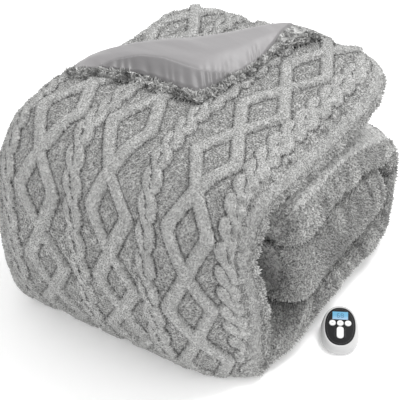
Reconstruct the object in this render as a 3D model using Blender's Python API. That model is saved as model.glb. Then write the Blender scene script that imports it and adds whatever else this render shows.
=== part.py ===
"""Folded electric heated blanket with its controller.

Metres, +Z up. The bundle rests on the plane z = 0. X runs along the folds, from the
closed side (-X) to the side with the free border (+X). Y runs from the round front
bend (-Y) to the back. The controller stands on the same plane beside the +X side.
"""

import math

import bmesh
import bpy
import numpy as np
from mathutils import Matrix, Vector
from mathutils.bvhtree import BVHTree

# ---------------------------------------------------------------- driving dimensions

# One row for each place along the folded strip, from its free end on top, round the
# front bend, back along the floor, round the back bend and forward to its tucked end.
# outer and inner are the two faces of the strip at mid width. hem_x is the free border
# of the outer ply, hem_drop how far that ply falls towards it, hem how thick it is there,
# roll_x where the inner plies end and roll_at how high on their side, as a share.
# crease_in is how far the crease under the border runs in. left_x is the closed side,
# left_round and left_fall the width and height of its rounding. raised is 1 where the
# carved pattern shows.
FOLD_COLUMNS = (
    "outer_y", "outer_z", "inner_y", "inner_z", "hem_x", "hem_drop", "hem",
    "roll_x", "roll_at", "crease_in", "left_x", "left_round", "left_fall", "raised",
)
FOLD_ROWS = {
    "top_end": (0.338, 0.340, 0.324, 0.320, 0.050, 0.004, 0.006, 0.020, 0.2, 0.010, -0.165, 0.045, 0.014, 0),
    "top_lip": (0.332, 0.357, 0.304, 0.318, 0.110, 0.006, 0.014, 0.075, 0.2, 0.016, -0.242, 0.055, 0.042, 1),
    "top_edge": (0.312, 0.375, 0.276, 0.322, 0.158, 0.010, 0.020, 0.125, 0.2, 0.018, -0.278, 0.065, 0.068, 1),
    "top_rim": (0.275, 0.385, 0.245, 0.328, 0.194, 0.018, 0.022, 0.160, 0.2, 0.020, -0.297, 0.075, 0.078, 1),
    "top_back": (0.205, 0.388, 0.195, 0.332, 0.210, 0.030, 0.022, 0.172, 0.2, 0.020, -0.304, 0.080, 0.080, 1),
    "top_mid": (0.080, 0.390, 0.080, 0.334, 0.212, 0.042, 0.022, 0.172, 0.2, 0.020, -0.306, 0.085, 0.081, 1),
    "top_front": (-0.100, 0.394, -0.080, 0.335, 0.211, 0.042, 0.022, 0.172, 0.2, 0.020, -0.336, 0.075, 0.085, 1),
    "top_turn": (-0.184, 0.394, -0.138, 0.321, 0.208, 0.048, 0.022, 0.172, 0.2, 0.024, -0.338, 0.080, 0.090, 1),
    "shoulder": (-0.245, 0.386, -0.156, 0.274, 0.206, 0.060, 0.022, 0.168, 0.3, 0.034, -0.334, 0.090, 0.100, 1),
    "brow": (-0.332, 0.322, -0.158, 0.215, 0.207, 0.095, 0.022, 0.166, 0.5, 0.030, -0.326, 0.130, 0.106, 1),
    "face": (-0.368, 0.220, -0.157, 0.167, 0.214, 0.138, 0.022, 0.166, 0.5, 0.026, -0.308, 0.150, 0.108, 1),
    "cheek": (-0.364, 0.118, -0.156, 0.120, 0.219, 0.136, 0.022, 0.176, 0.5, 0.026, -0.300, 0.120, 0.108, 1),
    "toe": (-0.314, 0.028, -0.142, 0.082, 0.234, 0.070, 0.022, 0.206, 0.5, 0.018, -0.302, 0.070, 0.085, 1),
    "sole_front": (-0.262, 0.000, -0.070, 0.078, 0.232, 0.020, 0.016, 0.250, 0.5, 0.006, -0.300, 0.080, 0.050, 0),
    "sole_mid": (0.000, 0.000, 0.020, 0.082, 0.230, 0.006, 0.016, 0.252, 0.5, 0.006, -0.306, 0.070, 0.040, 0),
    "sole_back": (0.210, 0.000, 0.200, 0.084, 0.226, 0.006, 0.016, 0.250, 0.5, 0.006, -0.312, 0.070, 0.040, 0),
    "heel": (0.316, 0.022, 0.256, 0.088, 0.213, 0.020, 0.016, 0.236, 0.5, 0.006, -0.306, 0.070, 0.040, 0),
    "back_bend": (0.344, 0.105, 0.268, 0.124, 0.219, 0.020, 0.020, 0.227, 0.5, 0.006, -0.302, 0.080, 0.030, 1),
    "back_top": (0.338, 0.168, 0.268, 0.158, 0.219, 0.016, 0.020, 0.223, 0.5, 0.006, -0.302, 0.080, 0.026, 1),
    "back_brow": (0.318, 0.204, 0.262, 0.180, 0.216, 0.012, 0.020, 0.216, 0.5, 0.010, -0.302, 0.080, 0.026, 1),
    "tuck_lip": (0.286, 0.236, 0.250, 0.190, 0.218, 0.014, 0.024, 0.206, 0.4, 0.022, -0.304, 0.075, 0.028, 0),
    "core_top": (0.266, 0.248, 0.236, 0.162, 0.216, 0.016, 0.032, 0.190, 0.3, 0.036, -0.306, 0.070, 0.045, 0),
    "core_back": (0.246, 0.259, 0.229, 0.118, 0.217, 0.018, 0.044, 0.212, 0.3, 0.034, -0.308, 0.070, 0.080, 0),
    "core_heel": (0.220, 0.270, 0.222, 0.096, 0.218, 0.022, 0.058, 0.232, 0.4, 0.024, -0.308, 0.070, 0.100, 0),
    "tuck_back": (0.165, 0.298, 0.190, 0.090, 0.220, 0.028, 0.060, 0.245, 0.5, 0.014, -0.310, 0.075, 0.115, 0),
    "tuck_mid": (0.040, 0.330, 0.040, 0.086, 0.222, 0.030, 0.074, 0.248, 0.5, 0.012, -0.314, 0.080, 0.122, 0),
    "tuck_front": (-0.100, 0.326, -0.106, 0.083, 0.226, 0.026, 0.080, 0.254, 0.5, 0.012, -0.318, 0.080, 0.122, 0),
    "tuck_end": (-0.134, 0.302, -0.138, 0.097, 0.190, 0.014, 0.070, 0.210, 0.5, 0.004, -0.304, 0.060, 0.105, 0),
}
STEP_SHOWN = 0.008      # along the strip where its face shows
STEP_COVERED = 0.024    # along the strip where it is covered
ACROSS_POINTS = 104     # over the outer face, from side to side
HEM_ROUND = 0.115       # width over which the outer ply turns down to its border
HEM_SPREAD = 0.28       # and more of it the further the ply falls
HEM_TURN = math.radians(70)
ROLL_ROUND = 0.050      # rounding of the inner plies' side
BACK_DRAW_RIGHT = 0.034 # how far the back corners are drawn in, at the border
BACK_DRAW_LEFT = 0.034  # and at the closed side
BACK_SINK_LEFT = 0.004  # the top sinks there
BORDER_WIDTH = 0.030    # plain band inside the hem
TRIANGLES_KEPT = 0.194    # share of the fine grid's triangles

# Carved pattern: diamond columns and cable columns by turns, across the sheet. Each
# diamond column has its middle, as (along, across), and its crossings along the strip.
DIAMOND_COLUMNS = {
    "far_left": (
        ((0.20, -0.375), (0.46, -0.380), (0.65, -0.362), (0.79, -0.322), (0.92, -0.298),
         (1.20, -0.285)),
        (0.04, 0.21, 0.38, 0.55, 0.69, 0.83, 0.97, 1.11),
    ),
    "left": (
        ((0.20, -0.222), (0.46, -0.236), (0.58, -0.232), (0.66, -0.214), (0.73, -0.187),
         (0.79, -0.163), (0.85, -0.146), (0.91, -0.132), (1.20, -0.110)),
        (-0.06, 0.11, 0.29, 0.457, 0.655, 0.790, 0.907, 1.025, 1.15),
    ),
    "middle": (
        ((0.20, -0.080), (0.42, -0.100), (0.55, -0.090), (0.65, -0.066), (0.71, -0.034),
         (0.79, -0.009), (0.84, 0.009), (0.89, 0.022), (1.20, 0.040)),
        (-0.08, 0.08, 0.25, 0.425, 0.645, 0.780, 0.888, 1.005, 1.13),
    ),
    "right": (
        ((0.20, 0.077), (0.45, 0.079), (0.53, 0.086), (0.62, 0.101), (0.70, 0.120),
         (0.78, 0.138), (0.86, 0.152), (0.93, 0.161), (1.20, 0.172)),
        (-0.05, 0.110, 0.272, 0.441, 0.618, 0.774, 0.924, 1.075, 1.23),
    ),
}
DIAMOND_REACH = ((0.40, 0.044), (0.60, 0.040), (0.70, 0.039), (0.95, 0.041))
RIDGE_WIDTH = 0.026
RIDGE_HEIGHT = 0.008
COLUMN_PITCH = 0.153
BACK_PITCH = 0.16       # length of the diamonds that go on round the back
CABLE_SWAY = 0.010
CABLE_LENGTH = 0.096     # one whole turn of the two strands
CABLE_START = 0.007
STRAND_WIDTH = 0.022
CABLE_WIDENED = 1.25     # the cable beside the border

# The turned-back corner, as places on the top of the bundle: the line under its fold
# and the line of its free edge, both from the left point round to the back point.
FLAP_FOLD = (
    (-0.328, -0.047), (-0.294, -0.018), (-0.262, 0.014), (-0.226, 0.056),
    (-0.188, 0.095), (-0.150, 0.130), (-0.118, 0.165), (-0.092, 0.198),
    (-0.066, 0.242), (-0.035, 0.286), (0.004, 0.302),
)
FLAP_EDGE = (
    (-0.325, -0.062), (-0.286, -0.083), (-0.245, -0.068), (-0.204, -0.052),
    (-0.164, -0.041), (-0.117, -0.042), (-0.071, -0.043), (-0.036, -0.036),
    (-0.024, -0.004), (-0.016, 0.051), (-0.008, 0.091), (-0.007, 0.146),
    (-0.004, 0.203), (0.010, 0.247), (0.026, 0.288),
)
FLAP_GAP = 0.004         # under its free edge
FLAP_TIP_SINK = -0.008   # and at its two ends, which lie into the bundle
FLAP_EDGE_THICKNESS = 0.018
FLAP_CREST = 0.037       # height of its fold
FLAP_STATIONS = 30
FLAP_ACROSS = 11
BACKING_THICKNESS = 0.002
BACKING_GAP = 0.0006

# Controller, in its own frame: x across, y away from its user, z up.
CONTROLLER_PLACE = (0.3045, -0.072, 0.0)
CONTROLLER_TURN = math.radians(29)
FACE_TILT = math.radians(14)
HOUSING_SIZE = (0.0735, 0.104)   # across and along
HOUSING_HEIGHT = 0.028           # of its face at the middle
HOUSING_LEVELS = {               # inset of the outline, share of the face's height
    "base": (0.0058, 0.00),
    "foot": (0.0022, 0.08),
    "belly": (0.0000, 0.30),
    "side": (0.0006, 0.58),
    "shoulder": (0.0026, 0.82),
    "brow": (0.0050, 0.95),
    "rim": (0.0068, 1.00),
}
FACE_SIZE = (0.0575, 0.085)
FACE_DEPTH = 0.0016
DISPLAY_SIZE = (0.0295, 0.0175)
DISPLAY_Y = 0.0243
KEY_DIAMETER = 0.0124
KEY_Y = 0.0070
KEY_PITCH = 0.0147
LEVEL_SIZE = (0.0132, 0.0262)
LEVEL_Y = -0.0142
KEY_STAND = 0.0014               # above the face
KEY_FOOT = -0.0034               # its lower end
KEY_EDGE = 0.0005
KEY_WELL = 0.0050                # below the face
KEY_GAP = 0.0004                 # round a key
GAP = 0.0003                     # between pieces that touch


def catmull(rows, steps):
    """Smooth curve through the rows, with that many steps from each to the next."""
    rows = np.asarray(rows, float)
    padded = np.vstack([2 * rows[0] - rows[1], rows, 2 * rows[-1] - rows[-2]])
    points = []
    for i in range(1, len(padded) - 2):
        a, b, c, d = padded[i - 1:i + 3]
        for t in np.arange(steps) / steps:
            points.append(0.5 * (
                2 * b + (c - a) * t + (2 * a - 5 * b + 4 * c - d) * t ** 2
                + (3 * b - a - 3 * c + d) * t ** 3
            ))
    points.append(rows[-1])
    return np.array(points)


def distance_along(points):
    steps = np.linalg.norm(np.diff(points, axis=0), axis=1)
    return np.concatenate([[0.0], np.cumsum(steps)])


def spread_evenly(points, count):
    """That many points at even distances along a polyline."""
    run = distance_along(points)
    at = np.linspace(0, run[-1], count)
    return np.column_stack([np.interp(at, run, column) for column in points.T])


def fold_stations():
    """The rows of FOLD_ROWS filled in along the strip, with the distance from its free end."""
    dense = catmull(list(FOLD_ROWS.values()), 40)
    column = {name: i for i, name in enumerate(FOLD_COLUMNS)}
    dense[:, column["outer_z"]] = dense[:, column["outer_z"]].clip(min=0.0)
    dense[:, column["raised"]] = dense[:, column["raised"]].clip(0.0, 1.0)
    run = distance_along(dense[:, :2])
    steps = np.maximum(np.diff(run), np.diff(distance_along(dense[:, 2:4])))
    spread = np.concatenate([[0.0], np.cumsum(steps)])
    picked = [0]
    for i in range(1, len(dense) - 1):
        shown = dense[i, column["raised"]] > 0
        if spread[i] - spread[picked[-1]] >= (STEP_SHOWN if shown else STEP_COVERED):
            picked.append(i)
    picked.append(len(dense) - 1)
    return [
        dict(zip(FOLD_COLUMNS, dense[i]), run=run[i])
        for i in picked
    ]


def quarter(start, end, count, corner_at_start, power=2.3):
    """Points of a quarter of a superellipse from start to end, both left out."""
    (x0, n0), (x1, n1) = start, end
    points = []
    for i in range(1, count + 1):
        angle = 0.5 * math.pi * i / (count + 1)
        across = math.sin(angle) ** (2 / power)
        down = 1 - math.cos(angle) ** (2 / power)
        if corner_at_start:
            across, down = down, across
        points.append((x0 + (x1 - x0) * across, n0 + (n1 - n0) * down))
    return points


def ridge(distance, width):
    """Rounded bar: 1 on its middle, 0 past half its width."""
    return math.sqrt(max(0.0, 1 - (2 * distance / width) ** 2))


def carved_height(across, along):
    """Height of the carved plush at a place on the sheet."""
    reach = np.interp(along, *np.transpose(DIAMOND_REACH))
    height = 0.0
    middles = []
    for middle, crossings in DIAMOND_COLUMNS.values():
        middle = np.interp(along, *np.transpose(middle))
        middles.append(middle)
        crossings = crossings + tuple(crossings[-1] + BACK_PITCH * np.arange(1, 9))
        part = np.interp(along, crossings, np.arange(len(crossings))) % 1.0
        length = np.interp(along, crossings[:-1], np.diff(crossings))
        lean = math.cos(math.atan2(2 * reach, length))
        swing = reach * (1 - abs(2 * part - 1))
        height = max(height, ridge(abs(abs(across - middle) - swing) * lean, RIDGE_WIDTH))
    cables = [0.5 * (a + b) for a, b in zip(middles, middles[1:])]
    cables.append(middles[-1] + 0.5 * COLUMN_PITCH)
    for number, middle in enumerate(cables):
        wide = CABLE_WIDENED if number == len(cables) - 1 else 1.0
        turn = 2 * math.pi * (along - CABLE_START + 0.013 * number) / CABLE_LENGTH
        for phase in (0.0, math.pi):
            away = across - middle - wide * CABLE_SWAY * math.sin(turn + phase)
            lift = 0.75 + 0.25 * math.cos(turn + phase)
            height = max(height, lift * ridge(away, wide * STRAND_WIDTH))
    return RIDGE_HEIGHT * height


def settled(x, y, z):
    """Draws the bundle's back corners in, and lets the top sink at the left one."""
    right = max(0.0, x - 0.06) / 0.20
    left = min(max(0.0, -x / 0.14), 1.0)
    back = min(max((y - 0.10) / 0.25, 0.0), 1.0) ** 2
    left = left * left * (3 - 2 * left)
    high = min(z / 0.40, 1.0) ** 2
    drawn = BACK_DRAW_RIGHT * right ** 2 + BACK_DRAW_LEFT * left
    return x, y - back * drawn, z - BACK_SINK_LEFT * back * high * left


def section_points(station):
    """The strip's section at a station, as points (x, n) with n from its inner face."""
    thickness = math.hypot(
        station["outer_y"] - station["inner_y"], station["outer_z"] - station["inner_z"]
    )
    side = thickness - station["left_fall"]
    drop = min(station["hem_drop"], 0.75 * thickness)
    hem = min(station["hem"], 0.4 * thickness)
    left_x, hem_x, roll_x = station["left_x"], station["hem_x"], station["roll_x"]
    left_top = (left_x + station["left_round"], thickness)
    # outer face, from the closed side to the border
    outer = [(left_x, side)]
    outer += quarter(outer[0], left_top, 24, True)
    turn = HEM_ROUND + HEM_SPREAD * drop
    turn_start = hem_x - turn
    outer.append(left_top)
    outer.append((turn_start, thickness))
    depth = drop / (1 - math.cos(HEM_TURN))
    for i in range(1, 25):
        angle = HEM_TURN * i / 24
        x = turn_start + turn * math.sin(angle) / math.sin(HEM_TURN)
        outer.append((x, thickness - depth * (1 - math.cos(angle))))
    outer = np.array(outer)
    zero = np.interp(0.0, outer[:, 0], distance_along(outer))
    length = distance_along(outer)[-1]
    outer = spread_evenly(outer, ACROSS_POINTS)
    across = np.linspace(0, length, ACROSS_POINTS) - zero
    tangent = np.gradient(outer, axis=0)
    normal = np.column_stack([-tangent[:, 1], tangent[:, 0]])
    normal /= np.linalg.norm(normal, axis=1)[:, None]
    for i, place in enumerate(across):
        to_border = length - zero - BORDER_WIDTH - place
        fade = min(max(to_border / 0.010, 0.0), 1.0) * station["raised"]
        on_top = station["outer_z"] > 0.34
        if on_top and under_flap(outer[i, 0], station["outer_y"]):
            fade = 0.0
        outer[i] += normal[i] * fade * carved_height(place, station["run"])
    # border's rolled edge, crease, inner plies and the inner face back to the closed side
    low = thickness - drop - hem
    crease = (
        hem_x - station["crease_in"],
        max(low - min(0.15 * hem, 0.004), 0.003),
    )
    bulge = 0.10 * min(hem, 0.04)
    edge = [(hem_x + bulge, low + 0.5 * hem), (hem_x - bulge, low), crease]
    belly = (roll_x, station["roll_at"] * crease[1])
    slope = 1.1 + 2.4 * station["roll_at"]
    inner_right = (roll_x - ROLL_ROUND, 0.0)
    inner_left = (left_x + 0.6 * station["left_round"], 0.0)
    rest = edge + quarter(crease, belly, 4, False, slope) + [belly]
    rest += quarter(belly, inner_right, 5, True) + [inner_right]
    rest += [
        (inner_right[0] + (inner_left[0] - inner_right[0]) * i / 14, 0.0)
        for i in range(1, 14)
    ]
    rest += [inner_left] + quarter(inner_left, (left_x, side), 7, False)
    return np.vstack([outer, rest])


def new_object(name, bm, collection, material=None):
    mesh = bpy.data.meshes.new(name)
    bm.to_mesh(mesh)
    bm.free()
    obj = bpy.data.objects.new(name, mesh)
    collection.objects.link(obj)
    if material:
        obj.data.materials.append(material)
    return obj


def new_material(name, colour, roughness, metallic=0.0):
    material = bpy.data.materials.new(name)
    material.use_nodes = True
    shader = material.node_tree.nodes["Principled BSDF"]
    shader.inputs["Base Color"].default_value = (*colour, 1.0)
    shader.inputs["Roughness"].default_value = roughness
    shader.inputs["Metallic"].default_value = metallic
    return material


def loft(bm, loops):
    """Closed body through loops with equal numbers of points."""
    rings = [[bm.verts.new(point) for point in loop] for loop in loops]
    for first, second in zip(rings, rings[1:]):
        for i in range(len(first)):
            j = (i + 1) % len(first)
            bm.faces.new((first[i], first[j], second[j], second[i]))
    for ring in (rings[0], rings[-1]):
        bm.faces.new(ring)
    bmesh.ops.recalc_face_normals(bm, faces=bm.faces)


def build_strip():
    """The folded strip without the turned-back corner."""
    loops = []
    for station in fold_stations():
        inner = np.array((station["inner_y"], station["inner_z"]))
        outer = np.array((station["outer_y"], station["outer_z"]))
        out = (outer - inner) / np.linalg.norm(outer - inner)
        loops.append([
            settled(x, inner[0] + out[0] * n, max(inner[1] + out[1] * n, 0.0))
            for x, n in section_points(station)
        ])
    bm = bmesh.new()
    loft(bm, loops)
    return bm


def flap_lines():
    """The fold line and the free edge of the turned-back corner, point for point."""
    fold = spread_evenly(catmull(FLAP_FOLD, 12), FLAP_STATIONS)
    edge = spread_evenly(catmull(FLAP_EDGE, 12), FLAP_STATIONS)
    return fold, edge


def under_flap(x, y):
    """Whether a place on the bundle's top lies under the turned-back corner."""
    outline = FLAP_FOLD + FLAP_EDGE[::-1]
    inside = False
    for (x0, y0), (x1, y1) in zip(outline, outline[1:] + outline[:1]):
        if (y0 > y) != (y1 > y) and x < x0 + (x1 - x0) * (y - y0) / (y1 - y0):
            inside = not inside
    return inside


def flap_rise(part, along):
    """Height of the turned-back corner, from its fold, 0, to its edge, 1."""
    edge = FLAP_EDGE_THICKNESS
    crest = edge + (FLAP_CREST - edge) * math.sin(math.pi * along)
    rise = math.sqrt(max(0.0, 1 - (1 - min(part / 0.22, 1.0)) ** 2))
    fall = min(max((part - 0.40) / 0.64, 0.0), 1.0)
    fall = fall * fall * (3 - 2 * fall)
    return rise * (crest + (edge - crest) * fall)


def flap_grid(top):
    """Upper face of the turned-back corner: a row of points for each place along it."""
    fold, edge = flap_lines()
    rows = []
    for i in range(FLAP_STATIONS):
        row = []
        for j in range(FLAP_ACROSS + 1):
            part = j / FLAP_ACROSS
            x, y = fold[i] + (edge[i] - fold[i]) * part
            rise = FLAP_GAP + flap_rise(part, i / (FLAP_STATIONS - 1))
            row.append(Vector((x, y, height_of(top, x, y) + rise)))
        rows.append(row)
    return rows


def height_of(top, x, y):
    """Height of the bundle's top at a place, smoothed over a hand's breadth."""
    heights = []
    for dx, dy in ((0, 0), (0.02, 0), (-0.02, 0), (0, 0.02), (0, -0.02)):
        hit = top.ray_cast(Vector((x + dx, y + dy, 1.0)), Vector((0, 0, -1)))[0]
        heights.append(hit.z if hit and hit.z > 0.25 else 0.30)
    return sum(heights) / len(heights)


def build_flap(top):
    """The turned-back corner as a closed body that dips into the bundle at its fold."""
    loops = []
    for number, row in enumerate(flap_grid(top)):
        free = 2 < number < FLAP_STATIONS - 3
        gap = FLAP_GAP if free else FLAP_TIP_SINK
        out = (row[-1] - row[0]).to_2d().normalized().to_3d()
        rim = row[-1]
        loop = list(row)
        for turn in (math.radians(45), math.radians(90), math.radians(135)):
            point = rim + out * (0.45 * FLAP_EDGE_THICKNESS * math.sin(turn))
            point.z -= 0.5 * FLAP_EDGE_THICKNESS * (1 - math.cos(turn))
            loop.append(point)
        for part, low in ((1.0, gap), (0.62, gap), (0.5, -0.014), (0.0, -0.014)):
            place = row[0].lerp(row[-1], part)
            place.z = height_of(top, place.x, place.y) + low
            loop.append(place)
        loops.append(loop)
    bm = bmesh.new()
    loft(bm, loops)
    return bm


def build_backing(top):
    """The smooth cloth over the turned-back corner, inside its plush rim."""
    rows = flap_grid(top)
    bm = bmesh.new()
    faces = []
    for lift in (BACKING_GAP, BACKING_GAP + BACKING_THICKNESS):
        grid = []
        for i in range(1, FLAP_STATIONS - 1):
            line = []
            for j in range(1, FLAP_ACROSS):
                along = rows[i + 1][j] - rows[i - 1][j]
                across = rows[i][j + 1] - rows[i][j - 1]
                up = across.cross(along).normalized()
                line.append(rows[i][j] + (up if up.z > 0 else -up) * lift)
            grid.append(line)
        faces.append(grid)
    low, high = faces
    loft(bm, [list(a) + list(b[::-1]) for a, b in zip(low, high)])
    return bm


def build_blanket():
    plush = new_material("grey plush", (0.42, 0.42, 0.41), 0.95)
    woven = new_material("grey backing", (0.52, 0.52, 0.51), 0.80)
    strip = build_strip()
    top = BVHTree.FromBMesh(strip)
    flap = new_object("flap_form", build_flap(top), cutter_collection)
    flap.hide_render = True
    flap.display_type = "WIRE"
    backing = new_object("backing_cloth", build_backing(top), blanket_collection, woven)
    blanket = new_object("blanket_plush", strip, blanket_collection, plush)
    thin_out = blanket.modifiers.new("thin out", "DECIMATE")
    thin_out.ratio = TRIANGLES_KEPT
    join = blanket.modifiers.new("turned-back corner", "BOOLEAN")
    join.operation = "UNION"
    join.object = flap
    blanket.data.shade_smooth()
    backing.data.shade_smooth()


def oval(width, length, count, power=2.25):
    """Points of a superellipse round the origin."""
    points = []
    for i in range(count):
        angle = 2 * math.pi * i / count
        c, s = math.cos(angle), math.sin(angle)
        points.append((
            0.5 * width * math.copysign(abs(c) ** (2 / power), c),
            0.5 * length * math.copysign(abs(s) ** (2 / power), s),
        ))
    return points


def prism(outline, low, high, edge=0.0):
    """Upright body over an outline, its upper edge rounded by that much."""
    bm = bmesh.new()
    loops = [[(x, y, low) for x, y in outline]]
    for i in range(4):
        turn = 0.5 * math.pi * i / 3
        inset = edge * (1 - math.cos(turn))
        if edge == 0.0 and i:
            continue
        shrunk = shrink(outline, inset)
        loops.append([(x, y, high - edge * (1 - math.sin(turn))) for x, y in shrunk])
    loft(bm, loops)
    return bm


def shrink(outline, inset):
    """The outline moved inwards by that distance."""
    points = np.array(outline)
    side = np.roll(points, -1, axis=0) - np.roll(points, 1, axis=0)
    inward = np.column_stack([-side[:, 1], side[:, 0]])
    inward /= np.linalg.norm(inward, axis=1)[:, None]
    return points + inward * inset


def rounded_rectangle(width, length, radius, steps=6):
    points = []
    corners = ((1, 1, 0), (-1, 1, 90), (-1, -1, 180), (1, -1, 270))
    for sx, sy, start in corners:
        for i in range(steps + 1):
            angle = math.radians(start + 90 * i / steps)
            points.append((
                sx * (0.5 * width - radius) + radius * math.cos(angle),
                sy * (0.5 * length - radius) + radius * math.sin(angle),
            ))
    return points


def build_housing(place, material):
    """The controller's wedge-shaped shell, with its top face on a slope."""
    bm = bmesh.new()
    loops = []
    for inset, part in HOUSING_LEVELS.values():
        outline = oval(HOUSING_SIZE[0] - 2 * inset, HOUSING_SIZE[1] - 2 * inset, 64)
        loops.append([
            (x, y, part * (HOUSING_HEIGHT + y * math.tan(FACE_TILT)))
            for x, y in outline
        ])
    loft(bm, loops)
    housing = new_object("controller_housing", bm, blanket_collection, material)
    housing.matrix_world = place
    housing.data.shade_smooth()
    return housing


def cut(obj, name, bm, place):
    """Takes a body away from a piece."""
    cutter = new_object(name, bm, cutter_collection)
    cutter.matrix_world = place
    cutter.hide_render = True
    cutter.display_type = "WIRE"
    taken = obj.modifiers.new(name, "BOOLEAN")
    taken.object = cutter


def build_controller():
    white = new_material("controller white", (0.86, 0.86, 0.86), 0.40)
    key_white = new_material("key white", (0.90, 0.90, 0.90), 0.45)
    black = new_material("face black", (0.02, 0.02, 0.022), 0.25)
    blue = new_material("display blue", (0.05, 0.20, 0.75), 0.20)
    place = Matrix.Translation(CONTROLLER_PLACE) @ Matrix.Rotation(CONTROLLER_TURN, 4, "Z")
    lift = Matrix.Translation((0, 0, HOUSING_HEIGHT))
    slope = place @ lift @ Matrix.Rotation(FACE_TILT, 4, "X")

    housing = build_housing(place, white)
    pocket = oval(FACE_SIZE[0] + 2 * GAP, FACE_SIZE[1] + 2 * GAP, 64)
    cut(housing, "face_pocket", prism(pocket, -FACE_DEPTH - GAP, 0.01), slope)
    face_plate = new_object(
        "controller_face",
        prism(oval(*FACE_SIZE, 64), -FACE_DEPTH, 0.0003, 0.0006),
        blanket_collection, black,
    )
    face_plate.matrix_world = slope

    window = rounded_rectangle(*DISPLAY_SIZE, 0.001, 3)
    display_place = slope @ Matrix.Translation((0, DISPLAY_Y, 0))
    display = new_object(
        "controller_display", prism(window, -0.0008, 0.0005, 0.0002),
        blanket_collection, blue,
    )
    display.matrix_world = display_place
    cut(
        face_plate, "display_pocket",
        prism(rounded_rectangle(
            DISPLAY_SIZE[0] + 2 * GAP, DISPLAY_SIZE[1] + 2 * GAP, 0.001 + GAP, 3
        ), -0.0008 - GAP, 0.01),
        display_place,
    )

    key = oval(KEY_DIAMETER, KEY_DIAMETER, 32, 2)
    level = rounded_rectangle(*LEVEL_SIZE, 0.45 * LEVEL_SIZE[0])
    keys = {
        "key_left": (-KEY_PITCH, KEY_Y, key),
        "key_middle": (0.0, KEY_Y, key),
        "key_right": (KEY_PITCH, KEY_Y, key),
        "key_level": (0.0, LEVEL_Y, level),
    }
    for name, (x, y, outline) in keys.items():
        key_place = slope @ Matrix.Translation((x, y, 0))
        piece = new_object(
            name, prism(outline, KEY_FOOT, KEY_STAND, KEY_EDGE),
            blanket_collection, key_white,
        )
        piece.matrix_world = key_place
        piece.data.shade_smooth()
        well = [tuple(point) for point in shrink(outline, -KEY_GAP)]
        cut(face_plate, name + "_hole", prism(well, -0.01, 0.01), key_place)
        cut(housing, name + "_well", prism(well, -KEY_WELL, 0.01), key_place)


def main():
    for obj in list(bpy.data.objects):
        bpy.data.objects.remove(obj)
    bpy.context.scene.collection.children.link(blanket_collection)
    bpy.context.scene.collection.children.link(cutter_collection)
    cutter_collection.hide_render = True
    build_blanket()
    build_controller()


blanket_collection = bpy.data.collections.new("heated_blanket")
cutter_collection = bpy.data.collections.new("cutters")
main()
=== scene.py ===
# Looks of the folded heated blanket and its controller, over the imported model.
import math
from functools import partial

import bmesh
import bpy
import numpy as np
from mathutils import Matrix, Vector
from mathutils.bvhtree import BVHTree


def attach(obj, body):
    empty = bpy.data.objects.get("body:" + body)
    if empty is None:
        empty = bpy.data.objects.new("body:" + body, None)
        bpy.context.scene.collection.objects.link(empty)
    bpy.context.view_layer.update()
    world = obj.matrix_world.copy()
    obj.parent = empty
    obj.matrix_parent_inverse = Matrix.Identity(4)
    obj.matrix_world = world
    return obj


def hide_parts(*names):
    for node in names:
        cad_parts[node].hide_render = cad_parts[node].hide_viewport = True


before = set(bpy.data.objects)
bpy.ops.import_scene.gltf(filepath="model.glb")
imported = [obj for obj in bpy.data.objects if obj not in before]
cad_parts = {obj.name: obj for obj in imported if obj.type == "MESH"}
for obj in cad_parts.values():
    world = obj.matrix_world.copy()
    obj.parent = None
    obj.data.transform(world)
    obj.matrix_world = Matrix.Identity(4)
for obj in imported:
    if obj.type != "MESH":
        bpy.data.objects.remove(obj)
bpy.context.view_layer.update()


# The photograph's view: the bundle fills the frame, seen from above its front right corner.
view = dict(
    aim=(-0.032, -0.060, 0.190), azimuth=33, elevation=37, distance=2.885,
    lens=135, sensor=36, shift=(0.015, -0.010),
)


def placed(name, data):
    # a new object at the origin, linked into the scene
    obj = bpy.data.objects.new(name, data)
    bpy.context.scene.collection.objects.link(obj)
    return obj


def addCamera():
    a, e = math.radians(view["azimuth"]), math.radians(view["elevation"])
    back = Vector((math.sin(a) * math.cos(e), -math.cos(a) * math.cos(e), math.sin(e)))
    right = Vector((math.cos(a), math.sin(a), 0))
    stand = Matrix((right, back.cross(right), back)).transposed().to_4x4()
    stand.translation = Vector(view["aim"]) + back * view["distance"]
    data = bpy.data.cameras.new("camera")
    data.lens, data.sensor_width = view["lens"], view["sensor"]
    data.shift_x, data.shift_y = view["shift"]
    camera = placed("camera", data)
    camera.matrix_world = stand
    bpy.context.scene.camera = camera


def setInputs(node, inputs):
    # each input is a value, a socket to link from, or a node, which means its first output in use
    for key, value in inputs.items():
        if isinstance(value, bpy.types.Node):
            value = next(socket for socket in value.outputs if socket.enabled)
        if isinstance(value, bpy.types.NodeSocket):
            node.id_data.links.new(value, node.inputs[key])
        else:
            node.inputs[key].default_value = value


def addNode(tree, kind, inputs=None, **settings):
    node = tree.nodes.new(kind)
    for key, value in settings.items():
        setattr(node, key, value)
    setInputs(node, inputs or {})
    return node


def addMaths(tree, operation, *values, clamp=False):
    inputs = dict(enumerate(values))
    return addNode(tree, "ShaderNodeMath", inputs, operation=operation, use_clamp=clamp)


def builders(tree):
    # addNode and addMaths, each for this tree
    return partial(addNode, tree), partial(addMaths, tree)


def newGroup(name, kind, inputs, outputs):
    # a node group with named sockets: numbers, or a geometry where the value is None
    group = bpy.data.node_groups.new(name, kind)
    kinds = {int: "NodeSocketInt", float: "NodeSocketFloat", type(None): "NodeSocketGeometry"}
    for way, sockets in (("INPUT", inputs), ("OUTPUT", outputs)):
        for label, value in sockets.items():
            made = group.interface.new_socket(label, in_out=way, socket_type=kinds[type(value)])
            if value is not None:
                made.default_value = value
    return group, group.nodes.new("NodeGroupInput").outputs


def setShader(material, inputs):
    setInputs(material.node_tree.nodes["Principled BSDF"], inputs)


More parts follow.
